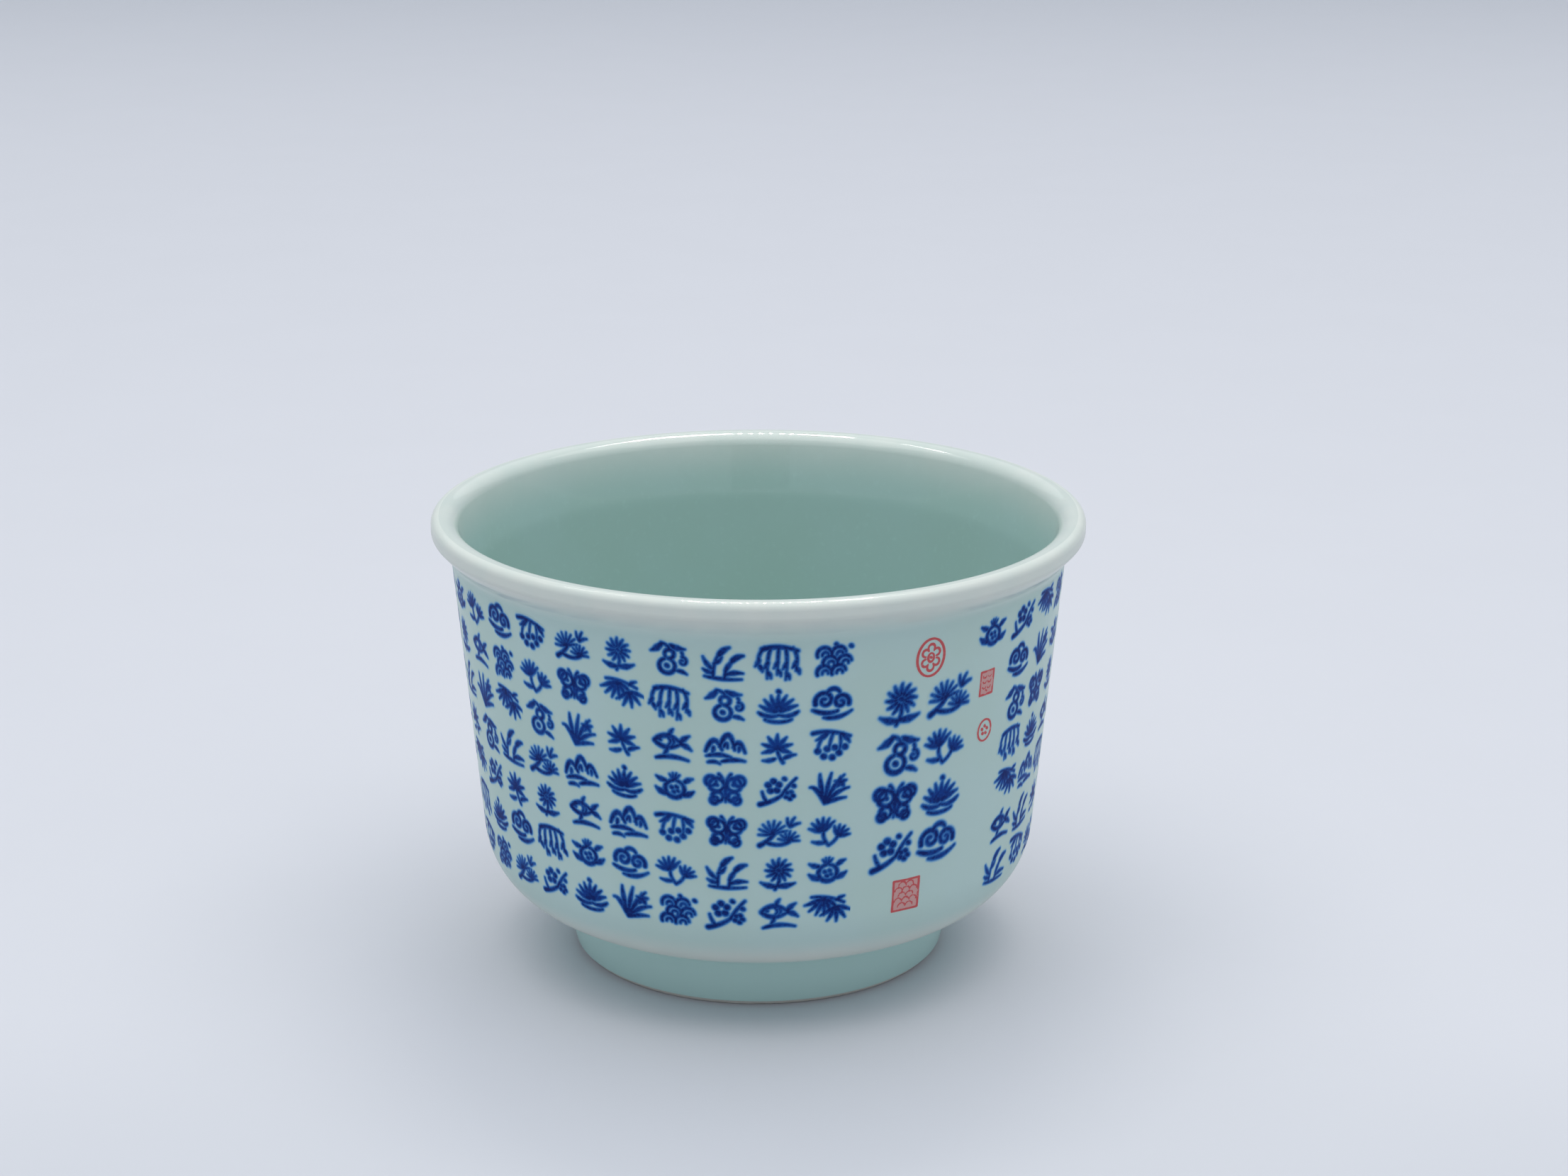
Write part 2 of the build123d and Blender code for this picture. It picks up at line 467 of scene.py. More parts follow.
@dataclass(frozen=True)
class CeladonGlaze:
    """Pale blue-green glaze, thin and white over the lip and edges and deeper where it pools; the white is
    partly painted highlight and floor reflection, and the pooled colour lightened by painted bounce light.
    """

    name: str = "celadon_outer_finish"
    body: Colour = (0.475, 0.625, 0.575)
    body_cool: Colour = (0.485, 0.637, 0.605)
    # Lip colour: thin glaze, and partly painted highlight where the lip faces the overhead light.
    lip: Colour = (0.675, 0.71, 0.65)
    # Pooled colour, used at the foot and in specks: greener pooled glaze, lightened as painted bounce light
    # from the floor.
    pooled: Colour = (0.49, 0.69, 0.64)
    lip_start: float = 51.8 * MM
    lip_end: float = 55.4 * MM
    pool_top: float = 8.9 * MM
    pool_bottom: float = 7.4 * MM
    # How far the shoulder's lower edge whitens: partly thin glaze, partly painted reflection of the floor.
    edge_thinning_and_reflection: float = 0.95
    edge_bottom: float = 8.0 * MM
    edge_middle: float = 9.4 * MM
    edge_top: float = 13.5 * MM
    cloud_size: float = 14.0 * MM
    speckle_size: float = 0.9 * MM
    ripple_size: float = 9.0 * MM
    ripple_depth: float = 0.02 * MM
    peel_size: float = 1.6 * MM
    peel_depth: float = 0.0015 * MM
    roughness: float = 0.24
    specular: float = 0.0
    gloss: float = 0.5
    gloss_roughness: float = 0.012

    def colour(self, shader: Shader) -> Socket:
        """Adds the nodes of the glaze's colour.

        Args:
            shader: The material that they go in.

        Returns:
            The colour.
        """
        clouds = shader.ramp(shader.noise(self.cloud_size, 2.0), 0.32, 0.68)
        tone = shader.mix(clouds, self.body, self.body_cool)
        speckle = shader.ramp(shader.noise(self.speckle_size, 2.0), 0.55, 0.8, 0.0, 0.14)
        tone = shader.mix(speckle, tone, self.pooled)
        height = shader.height()
        # The foot turns to the pooled colour: real pooling and painted bounce light from the floor.
        tone = shader.mix(shader.ramp(height, self.pool_top, self.pool_bottom), tone, self.pooled)
        # A whiter band at the shoulder's lower edge: thin glaze and painted floor reflection.
        rising = shader.ramp(height, self.edge_bottom, self.edge_middle, 0.0, self.edge_thinning_and_reflection)
        edge = shader.maths("MULTIPLY", rising, shader.ramp(height, self.edge_top, self.edge_middle))
        uneven = shader.ramp(shader.noise(self.cloud_size * 0.4, 2.0), 0.25, 0.75, 0.82, 1.0)
        # Lip and edge whitening: thin glaze, partly painted highlight on the lip and painted floor reflection
        # at the lower edge.
        thin = shader.maths("ADD", shader.ramp(height, self.lip_start, self.lip_end), edge)
        return shader.mix(shader.maths("MULTIPLY", thin, uneven), tone, self.lip)

    def surface(self, shader: Shader) -> dict[str, object]:
        """The gloss and relief that all glazed finishes share."""
        ripple = shader.bump(shader.noise(self.ripple_size, 1.0), self.ripple_depth, 0.5)
        peel = shader.bump(shader.noise(self.peel_size, 1.0), self.peel_depth, 0.5, ripple)
        return {
            "Normal": peel,
            "Coat_Normal": peel,
            "Roughness": self.roughness,
            "Specular_IOR_Level": self.specular,
            "Coat_Weight": self.gloss,
            "Coat_Roughness": self.gloss_roughness,
        }

    def build(self) -> Material:
        """Makes the material."""
        shader = Shader(self.name)
        return shader.finish(Base_Color=self.colour(shader), **self.surface(shader))


@dataclass(frozen=True)
class PaintFinish:
    """Dark brush lines in a soft wash that fades into the glaze, read from the patches' own attribute."""

    name: str
    line: Colour
    line_thin: Colour
    wash: Colour
    wash_thin: Colour
    halo: Colour
    wash_start: float = 0.0
    wash_end: float = 0.6
    line_start: float = 0.66
    line_end: float = 0.96
    wash_strength: float = 1.0
    pigment_thin: float = 0.2
    pigment_full: float = 0.9
    gloss: float = 0.2
    grain_size: float = 0.4 * MM
    glaze: CeladonGlaze = field(default_factory=CeladonGlaze)

    def build(self) -> Material:
        """Makes the material."""
        shader = Shader(self.name)
        brush = shader.node("ShaderNodeAttribute", attribute_name=Stencil.ATTRIBUTE)
        parts = shader.node("ShaderNodeSeparateColor")
        shader.feed(parts.inputs[0], brush.outputs["Color"])
        cover, load, tone = parts.outputs[0], parts.outputs[1], parts.outputs[2]
        grain = shader.noise(self.grain_size, 3.0, 0.6)
        patches = shader.noise(self.grain_size * 4.0, 2.0)
        uneven = shader.maths("ADD", load, shader.ramp(grain, 0.3, 0.7, -0.2, 0.2))
        took, lay = shader.ramp(tone, 0.0, 1.0, 0.55, 1.15), shader.ramp(patches, 0.3, 0.7, 0.7, 1.1)
        taken = shader.maths("MULTIPLY", took, lay)
        pigment = shader.maths("MULTIPLY", uneven, taken)
        thickness = shader.ramp(pigment, self.pigment_thin, self.pigment_full)
        line = shader.mix(thickness, self.line_thin, self.line)
        pooled, strength = shader.ramp(patches, 0.3, 0.7, 0.55, 1.0), shader.ramp(tone, 0.0, 0.8, 0.6, 1.0)
        depth = shader.maths("MULTIPLY", pooled, strength)
        wash = shader.mix(depth, self.wash_thin, self.wash)
        wash = shader.mix(shader.ramp(cover, self.wash_end * 0.5, self.wash_end * 1.25), self.halo, wash)
        spread = shader.ramp(cover, self.wash_start, self.wash_end, 0.0, self.wash_strength)
        under = shader.mix(spread, self.glaze.colour(shader), wash)
        ragged = shader.maths("ADD", cover, shader.ramp(grain, 0.3, 0.7, -0.06, 0.06))
        drawn = shader.ramp(ragged, self.line_start, self.line_end)
        surface = self.glaze.surface(shader)
        surface["Coat_Weight"] = shader.ramp(cover, 0.0, self.line_end, self.glaze.gloss, self.gloss)
        return shader.finish(Base_Color=shader.mix(drawn, under, line), **surface)


@dataclass(frozen=True)
class BareClay:
    """Unglazed porcelain, warm white and finely grained, faintly browned beside the glaze."""

    clay: Colour = (0.60, 0.57, 0.51)
    clay_shade: Colour = (0.46, 0.43, 0.38)
    iron: Colour = (0.34, 0.22, 0.13)
    scorch_low: float = 0.45 * MM
    scorch_high: float = 0.85 * MM
    grain_size: float = 0.25 * MM
    grain_depth: float = 0.03 * MM
    roughness: float = 0.72

    def build(self) -> Material:
        """Makes the material."""
        shader = Shader("bare_porcelain_finish")
        grain = shader.noise(self.grain_size, 4.0, 0.65)
        colour = shader.mix(shader.ramp(grain, 0.35, 0.75, 0.0, 0.35), self.clay, self.clay_shade)
        scorch = shader.ramp(shader.height(), self.scorch_low, self.scorch_high)
        patchy = shader.ramp(shader.noise(2.5 * MM, 2.0), 0.3, 0.7, 0.15, 0.7)
        colour = shader.mix(shader.maths("MULTIPLY", scorch, patchy), colour, self.iron)
        relief = shader.bump(grain, self.grain_depth, 0.6)
        return shader.finish(Base_Color=colour, Roughness=self.roughness, Normal=relief)


# ---- Brushwork ------------------------------------------------------------------------------------------


class Brush:
    """Brush strokes in millimetres, x to the right and y up, each a row of (x, y, half width, load)."""

    SAMPLES = 9

    @classmethod
    def stroke(
        cls, start: Sequence[float], through: Sequence[float], end: Sequence[float], widths: Sequence[float]
    ) -> np.ndarray:
        """A curved stroke.

        Args:
            start: Where the brush is set down.
            through: The point that the stroke bends towards.
            end: Where it lifts.
            widths: Half widths at the start, in the middle and at the end.

        Returns:
            Samples along the stroke.
        """
        t = np.linspace(0.0, 1.0, cls.SAMPLES)[:, None]
        a, b, c = (np.asarray(point, dtype=float) for point in (start, through, end))
        line = (1 - t) ** 2 * a + 2 * t * (1 - t) * b + t**2 * c
        first, middle, last = widths
        width = np.interp(t[:, 0], (0.0, 0.12, 0.5, 1.0), (first, (first + middle) / 2 + 0.02, middle, last))
        load = np.interp(t[:, 0], (0.0, 0.15, 0.55, 0.9, 1.0), (1.0, 0.9, 0.5, 0.7, 0.85))
        return np.column_stack([line, width, load])

    @classmethod
    def leaf(
        cls, x: float, y: float, angle: float, length: float, width: float = 0.3, bend: float = 0.15
    ) -> np.ndarray:
        """A leaf pressed open and lifted to a point.

        Args:
            x: Where its stalk is.
            y: Where its stalk is.
            angle: Its direction, in degrees.
            length: Its length.
            width: Half width at its widest.
            bend: How much it curves, as a share of its length.

        Returns:
            Samples along the leaf.
        """
        way = np.array([math.cos(math.radians(angle)), math.sin(math.radians(angle))])
        side = np.array([-way[1], way[0]])
        root = np.array([x, y])
        middle = root + way * length * 0.5 + side * length * bend
        return cls.stroke(root, middle, root + way * length, (0.1, width, 0.04))

    @classmethod
    def dot(cls, x: float, y: float, size: float = 0.34) -> np.ndarray:
        """A dab of the brush."""
        widths = (size * 0.8, size, size * 0.75)
        return cls.stroke((x - 0.08, y + 0.06), (x, y), (x + 0.08, y - 0.06), widths)

    @classmethod
    def arc(
        cls, x: float, y: float, radius: float, first: float, last: float,
        width: float = 0.2, squash: float = 1.0,
    ) -> np.ndarray:
        """A stroke round a centre.

        Args:
            x: The centre.
            y: The centre.
            radius: Its radius, across.
            first: First angle, in degrees.
            last: Last angle, in degrees.
            width: Half width at its middle.
            squash: Height of the arc, as a share of its width.

        Returns:
            Samples along the arc.
        """
        turn = np.radians(np.linspace(first, last, 2 * cls.SAMPLES))
        share = np.linspace(0.0, 1.0, len(turn))
        thick = width * (0.55 + 0.45 * np.sin(np.pi * np.clip(share * 0.9 + 0.1, 0, 1)))
        load = 0.55 + 0.4 * np.abs(share - 0.5) * 2
        return np.column_stack([x + radius * np.cos(turn), y + radius * squash * np.sin(turn), thick, load])

    @staticmethod
    def ground(width: float, height: float, rows: int = 11) -> Strokes:
        """A thin fill behind a square seal's lines.

        Args:
            width: Its width.
            height: Its height.
            rows: How many strokes it is laid in.

        Returns:
            Its strokes, with no load.
        """
        half = height / rows / 2
        reach = width / 2 - half
        middles = np.linspace(half - height / 2, height / 2 - half, rows)
        return [np.array([(-reach, y, half * 1.2, 0.0), (reach, y, half * 1.2, 0.0)]) for y in middles]

    @classmethod
    def spiral(
        cls, x: float, y: float, radius: float, start: float, turns: float, width: float = 0.2
    ) -> np.ndarray:
        """A scroll that winds in to its centre."""
        share = np.linspace(0.0, 1.0, 3 * cls.SAMPLES)
        turn = np.radians(start) + share * turns * math.tau
        reach = radius * (1.0 - 0.85 * share)
        thick = width * (1.0 - 0.35 * share)
        load = 0.9 - 0.4 * share
        return np.column_stack([x + reach * np.cos(turn), y + reach * np.sin(turn), thick, load])

    @classmethod
    def fan(
        cls, x: float, y: float, first: float, last: float, count: int, length: float,
        width: float = 0.15, start: float = 0.0, bend: float = 0.05,
    ) -> Strokes:
        """Leaves spread from a centre.

        Args:
            x: The centre.
            y: The centre.
            first: First direction, in degrees.
            last: Last direction, in degrees.
            count: How many.
            length: Their length.
            width: Their half width.
            start: How far from the centre they begin.
            bend: How much they curve.

        Returns:
            The leaves.
        """
        leaves = []
        for angle in np.linspace(first, last, count):
            turn = math.radians(angle)
            root = x + start * math.cos(turn), y + start * math.sin(turn)
            leaves.append(cls.leaf(*root, angle, length, width, bend))
        return leaves

    @classmethod
    def ring_of_dots(
        cls, x: float, y: float, first: float, reach: Size, count: int = 5, size: float = 0.3
    ) -> Strokes:
        """Dabs set round a centre.

        Args:
            x: The centre.
            y: The centre.
            first: The first one's direction, in degrees.
            reach: How far off they are, across and up.
            count: How many.
            size: Their half width.

        Returns:
            The dabs.
        """
        turns = np.radians(first + np.arange(count) * 360 / count)
        return [cls.dot(x + reach[0] * math.cos(turn), y + reach[1] * math.sin(turn), size) for turn in turns]


def bamboo() -> Strokes:
    """Drooping bamboo leaves in two bunches."""
    high = Brush.fan(-0.5, 1.9, 205, 325, 6, 2.3, 0.3, 0.1, 0.08)
    low = Brush.fan(1.1, 0.7, 215, 345, 5, 2.0, 0.28, 0.1, 0.08)
    return high + low + [
        Brush.stroke((-1.9, 2.0), (0.2, 2.2), (2.2, 1.2), (0.1, 0.16, 0.12)),
        Brush.leaf(1.2, 1.5, 30, 1.1, 0.22),
    ]


def orchid() -> Strokes:
    """Long blades and one flower."""
    root = (-0.5, -1.95)
    tips = (
        ((-1.6, 0.4), (-2.4, 0.2)), ((-1.3, 0.9), (-1.3, 1.9)), ((-0.3, 0.4), (0.1, 2.0)),
        ((0.7, 0.8), (1.7, 1.7)), ((1.0, -0.2), (2.4, 0.0)), ((0.6, -1.4), (2.1, -1.3)),
    )
    blades = [Brush.stroke(root, through, tip, (0.16, 0.28, 0.05)) for through, tip in tips]
    return blades + Brush.fan(1.3, 0.75, 20, 310, 5, 0.75, 0.26)


def plum() -> Strokes:
    """Two blossoms on a branch."""
    large = Brush.ring_of_dots(-0.55, 0.55, 90, (0.68, 0.68), size=0.42)
    small = Brush.ring_of_dots(1.35, -0.75, 60, (0.45, 0.45), size=0.28)
    return large + small + [
        Brush.stroke((-2.3, -1.8), (-0.6, -1.5), (0.5, -0.6), (0.32, 0.24, 0.16)),
        Brush.stroke((0.4, -0.7), (1.2, 0.6), (2.2, 1.5), (0.2, 0.16, 0.1)),
        Brush.dot(1.9, 0.5, 0.26), Brush.dot(0.8, 1.5, 0.24),
        Brush.stroke((-1.4, -1.6), (-1.9, -0.8), (-2.0, -0.1), (0.18, 0.14, 0.08)),
    ]


def pine() -> Strokes:
    """Needles in fans over a twig."""
    return Brush.fan(-0.7, -0.35, 15, 185, 8, 1.7, 0.15) + Brush.fan(1.2, -1.2, 0, 170, 7, 1.25, 0.14) + [
        Brush.stroke((-2.2, -1.9), (-1.2, -1.3), (-0.6, -0.4), (0.3, 0.22, 0.24)),
        Brush.stroke((-1.4, -1.5), (0.2, -2.1), (1.3, -1.3), (0.2, 0.18, 0.22)),
        Brush.leaf(1.3, 0.6, 70, 1.3, 0.16), Brush.leaf(1.3, 0.6, 25, 1.2, 0.16),
        Brush.leaf(1.3, 0.6, 110, 1.2, 0.16),
    ]


def cloud() -> Strokes:
    """Scrolled clouds with a trailing tail."""
    return [
        Brush.spiral(-0.9, 0.5, 1.15, 200, -1.35, 0.27), Brush.spiral(1.0, 0.2, 1.0, -20, 1.3, 0.26),
        Brush.arc(0.1, 1.1, 0.8, 150, 20, 0.24),
        Brush.stroke((-2.3, -0.6), (-0.6, -1.4), (0.6, -0.9), (0.12, 0.28, 0.16)),
        Brush.stroke((-1.0, -1.6), (0.8, -2.0), (2.3, -1.0), (0.1, 0.26, 0.06)),
    ]


def waves() -> Strokes:
    """Rollers, one over another."""
    strokes = []
    for row, (left, height) in enumerate(((-1.25, -1.5), (-0.55, -0.35), (-1.25, 0.8))):
        for step in range(2):
            x = left + 1.75 * step
            strokes.append(Brush.arc(x, height, 0.85, 200, 10, 0.24 - 0.02 * row))
            strokes.append(Brush.arc(x + 0.12, height - 0.12, 0.36, 190, -10, 0.16))
    return strokes + [Brush.dot(2.0, 1.6, 0.22), Brush.dot(0.2, 1.95, 0.2)]


def berries() -> Strokes:
    """A hanging spray of fruit."""
    fruit = ((-1.6, -0.6), (-0.9, -1.3), (0.1, -1.5), (0.9, -1.0), (-0.5, -0.4), (0.4, -0.3), (1.6, -0.3))
    return [Brush.dot(x, y, 0.38) for x, y in fruit] + [
        Brush.stroke((-2.2, 1.7), (-0.2, 2.1), (2.2, 1.0), (0.22, 0.2, 0.1)),
        Brush.stroke((-0.6, 1.7), (-1.6, 0.6), (-1.6, -0.4), (0.12, 0.12, 0.08)),
        Brush.stroke((0.2, 1.7), (-0.2, 0.6), (-0.3, -0.3), (0.12, 0.12, 0.08)),
        Brush.stroke((1.0, 1.5), (1.2, 0.4), (0.9, -0.8), (0.12, 0.12, 0.08)),
        Brush.leaf(-0.4, 1.8, 215, 1.7, 0.36), Brush.leaf(1.1, 1.45, -50, 1.6, 0.34),
    ]


def lotus() -> Strokes:
    """An open flower over ripples."""
    return Brush.fan(0.0, -0.9, 22, 158, 7, 2.1, 0.34, 0.2, 0.08) + [
        Brush.stroke((-2.3, -0.9), (-1.2, -1.7), (0.1, -1.2), (0.1, 0.26, 0.12)),
        Brush.stroke((2.3, -0.8), (1.3, -1.6), (0.2, -1.25), (0.1, 0.26, 0.12)),
        Brush.arc(0.0, -1.55, 1.7, 205, 335, 0.18, 0.32), Brush.dot(0.0, 1.75, 0.24),
    ]


def reeds() -> Strokes:
    """Bending reeds with heavy heads."""
    return [
        Brush.stroke((-1.2, -2.0), (-1.3, 0.0), (-0.6, 1.1), (0.16, 0.14, 0.1)),
        Brush.stroke((-0.6, 1.0), (-0.2, 1.7), (0.5, 2.0), (0.3, 0.34, 0.1)),
        Brush.stroke((0.2, -2.0), (0.2, -0.4), (1.0, 0.4), (0.16, 0.14, 0.1)),
        Brush.stroke((1.0, 0.4), (1.5, 1.0), (2.2, 1.1), (0.3, 0.33, 0.1)),
        Brush.leaf(-1.3, -0.9, 130, 1.9, 0.26), Brush.leaf(-1.3, -1.4, 160, 1.2, 0.26),
        Brush.leaf(0.2, -1.2, 60, 1.8, 0.28),
        Brush.leaf(0.25, -1.5, 10, 2.1, 0.3), Brush.leaf(-1.2, -0.2, 45, 1.3, 0.24, -0.2),
        Brush.stroke((-2.2, -1.9), (0.0, -2.2), (2.2, -1.9), (0.08, 0.2, 0.06)),
    ]


def chrysanthemum() -> Strokes:
    """A full flower with two leaves."""
    return Brush.fan(0.0, 0.45, 0, 330, 12, 1.15, 0.22, 0.42, 0.12) + [
        Brush.dot(0.0, 0.45, 0.3), Brush.stroke((0.1, -0.8), (0.0, -1.5), (-0.4, -2.1), (0.12, 0.16, 0.14)),
        Brush.leaf(-0.2, -1.7, 165, 2.0, 0.36), Brush.leaf(-0.2, -1.6, 8, 2.2, 0.38, -0.15),
    ]


def willow() -> Strokes:
    """Hanging strands."""
    strands = ((-2.2, -0.6), (-1.2, -1.9), (-0.1, -1.4), (0.9, -2.0), (2.0, -0.9))
    strokes = [Brush.stroke((-1.9, 1.6), (0.0, 2.3), (2.1, 1.5), (0.26, 0.24, 0.14))]
    for x, low in strands:
        strokes.append(Brush.stroke((x * 0.75, 1.85), (x * 1.15, 0.9), (x, low), (0.12, 0.14, 0.05)))
        strokes.append(Brush.leaf(x, low * 0.2 + 0.5, 245, 0.95, 0.25))
        strokes.append(Brush.leaf(x, low * 0.6, -60, 0.85, 0.24))
    return strokes


def pomegranate() -> Strokes:
    """A crowned fruit between two leaves."""
    return [
        Brush.arc(0.1, -0.35, 1.15, 100, 440, 0.28, 0.95), Brush.dot(-0.25, -0.2, 0.24),
        Brush.dot(0.35, -0.1, 0.22), Brush.dot(0.0, -0.75, 0.24), Brush.dot(0.5, -0.6, 0.2),
    ] + Brush.fan(0.1, 0.75, 50, 130, 4, 0.9, 0.17) + [
        Brush.leaf(-0.9, -1.1, 150, 1.5, 0.38), Brush.leaf(1.1, -1.1, 25, 1.4, 0.38, -0.15),
        Brush.leaf(-0.9, 0.6, 160, 1.3, 0.3), Brush.leaf(1.2, 0.5, 30, 1.2, 0.3),
    ]


def ginkgo() -> Strokes:
    """Two fan leaves on long stalks."""
    large = Brush.fan(-0.8, -0.2, 45, 165, 6, 1.7, 0.28, 0.1, 0.04)
    small = Brush.fan(1.0, -0.9, 5, 110, 5, 1.35, 0.26, 0.1, 0.04)
    return large + small + [
        Brush.stroke((-0.8, -0.1), (-0.9, -1.2), (-0.1, -2.0), (0.12, 0.14, 0.16)),
        Brush.stroke((1.0, -0.8), (0.7, -1.6), (-0.1, -2.0), (0.12, 0.13, 0.14)),
        Brush.leaf(-0.5, -1.6, 175, 1.6, 0.24),
    ]


def fish() -> Strokes:
    """A carp turning over weed."""
    return [
        Brush.stroke((-2.0, 0.5), (-0.4, 1.9), (1.1, 0.3), (0.2, 0.3, 0.14)),
        Brush.stroke((-2.0, 0.4), (-0.7, -0.9), (1.1, 0.2), (0.2, 0.28, 0.14)),
        Brush.dot(-1.35, 0.6, 0.2), Brush.arc(-0.6, 0.45, 0.5, 60, -60, 0.15),
        Brush.arc(-0.1, 0.4, 0.42, 60, -60, 0.14),
        Brush.leaf(1.0, 0.25, 42, 1.5, 0.32), Brush.leaf(1.0, 0.25, -30, 1.5, 0.32),
        Brush.leaf(-0.2, 1.2, 60, 0.9, 0.22), Brush.leaf(-0.5, -0.4, 240, 0.9, 0.22),
        Brush.stroke((-1.9, -1.7), (0.0, -1.1), (1.9, -1.8), (0.1, 0.26, 0.08)),
    ]


def butterfly() -> Strokes:
    """Round wings and feelers."""
    wing = ((1.0, 0.65, 0.85), (1.65, 1.1, 0.6), (0.9, -0.85, 0.62), (1.3, -1.35, 0.4))
    return [Brush.arc(side * x, y, size, 0, 360, 0.26) for side in (-1, 1) for x, y, size in wing] + [
        Brush.stroke((0.0, 0.6), (0.05, -0.3), (0.0, -1.5), (0.26, 0.28, 0.08)),
        Brush.stroke((0.05, 0.8), (0.2, 1.5), (0.7, 2.0), (0.08, 0.1, 0.14)),
        Brush.stroke((-0.05, 0.8), (-0.2, 1.5), (-0.7, 2.0), (0.08, 0.1, 0.14)),
        Brush.dot(1.0, 0.65, 0.22), Brush.dot(-1.0, 0.65, 0.22),
    ]


def maple() -> Strokes:
    """A lobed leaf and a key."""
    return Brush.fan(-0.2, -0.1, -20, 200, 7, 1.85, 0.33, 0.0, 0.03) + [
        Brush.stroke((-0.2, -0.1), (0.0, -1.2), (0.6, -2.0), (0.14, 0.15, 0.18)),
        Brush.leaf(0.6, -1.5, 20, 1.6, 0.28), Brush.leaf(-0.4, -1.5, 190, 1.5, 0.26),
    ]


def gourd() -> Strokes:
    """A gourd on its tendril."""
    return [
        Brush.arc(-0.2, -0.95, 1.0, 105, 440, 0.26, 0.95), Brush.arc(0.15, 0.6, 0.58, 250, 590, 0.24),
        Brush.stroke((0.2, 1.15), (0.1, 1.8), (-0.8, 2.0), (0.2, 0.16, 0.14)),
        Brush.leaf(-0.7, 1.95, 215, 1.8, 0.42), Brush.leaf(0.3, 1.8, -15, 1.9, 0.38, -0.15),
        Brush.spiral(1.75, -0.3, 0.6, 90, -1.1, 0.15),
        Brush.stroke((1.7, 0.9), (1.9, 0.6), (1.75, 0.3), (0.12, 0.12, 0.12)),
        Brush.dot(-0.2, -0.95, 0.3), Brush.leaf(1.0, -1.5, -20, 1.3, 0.24),
    ]


def hills() -> Strokes:
    """Steep hills above mist."""
    return [
        Brush.stroke((-2.3, -0.5), (-1.4, 2.2), (-0.4, -0.2), (0.14, 0.3, 0.12)),
        Brush.stroke((-0.7, 0.2), (0.4, 3.4), (1.1, -0.1), (0.12, 0.32, 0.12)),
        Brush.stroke((0.9, 0.2), (1.6, 1.7), (2.3, -0.4), (0.12, 0.28, 0.1)),
        Brush.stroke((-0.2, 0.2), (0.2, 1.1), (0.25, 0.1), (0.1, 0.22, 0.08)),
        Brush.stroke((-2.2, -1.1), (-0.6, -0.6), (0.7, -1.1), (0.08, 0.26, 0.08)),
        Brush.stroke((-0.4, -1.7), (1.0, -1.2), (2.3, -1.5), (0.08, 0.26, 0.08)),
        Brush.stroke((-2.0, -1.9), (-1.2, -1.6), (-0.6, -2.0), (0.08, 0.2, 0.06)),
        Brush.leaf(-1.4, 0.1, 260, 0.7, 0.22), Brush.leaf(1.6, 0.3, 265, 0.6, 0.2),
    ]


def ring(width: float, height: float, line: float) -> Strokes:
    """An oval frame, in millimetres, with its lines' half width."""
    across, up = width / 2 - line, height / 2 - line
    halves = ((80, 265), (262, 447))
    return [Brush.arc(0.0, 0.0, across, first, last, line, up / across) for first, last in halves]


def box_frame(width: float, height: float, line: float) -> Strokes:
    """A square frame, in millimetres, with its lines' half width."""
    x, y = width / 2 - line, height / 2 - line
    corners = ((-x, y), (x, y), (x, -y), (-x, -y), (-x, y))
    strokes = []
    for start, end in zip(corners, corners[1:]):
        middle = (start[0] + end[0]) / 2 + 0.03, (start[1] + end[1]) / 2 - 0.03
        strokes.append(Brush.stroke(start, middle, end, (line, line * 0.8, line)))
    return strokes


def oval_rosette() -> Strokes:
    """An oval frame round a long rosette of scallops."""
    petals = []
    for angle in range(90, 450, 60):
        x, y = 0.88 * math.cos(math.radians(angle)), 1.22 * math.sin(math.radians(angle))
        petals.append(Brush.arc(x, y, 0.46, angle - 120, angle + 120, 0.13))
    middle = [Brush.arc(0.0, 0.0, 0.42, 80, 440, 0.12, 1.3), Brush.dot(0.0, 0.0, 0.13)]
    return ring(4.1, 5.0, 0.15) + petals + middle


def lattice_square() -> Strokes:
    """A square frame filled with rows of scales."""
    strokes = Brush.ground(3.6, 4.0) + box_frame(3.8, 4.2, 0.14)
    for row, height in enumerate((-1.5, -0.8, -0.1, 0.6, 1.3)):
        starts = (-1.05, 0.0, 1.05) if row % 2 else (-0.53, 0.53)
        strokes += [Brush.arc(x, height, 0.5, 0, 180, 0.11, 0.95) for x in starts]
    return strokes


def wave_square() -> Strokes:
    """A small square frame round three ripples."""
    return Brush.ground(2.3, 3.0) + box_frame(2.5, 3.2, 0.12) + [
        Brush.arc(x, y, 0.3, 190, 350, 0.1, 0.9) for y in (0.95, 0.25, -0.45) for x in (-0.42, 0.42)
    ] + [Brush.dot(0.0, -1.0, 0.13)]


def round_flower() -> Strokes:
    """A small round frame with five petals."""
    return ring(2.6, 3.0, 0.12) + Brush.ring_of_dots(0.0, 0.0, 90, (0.48, 0.52), size=0.17)


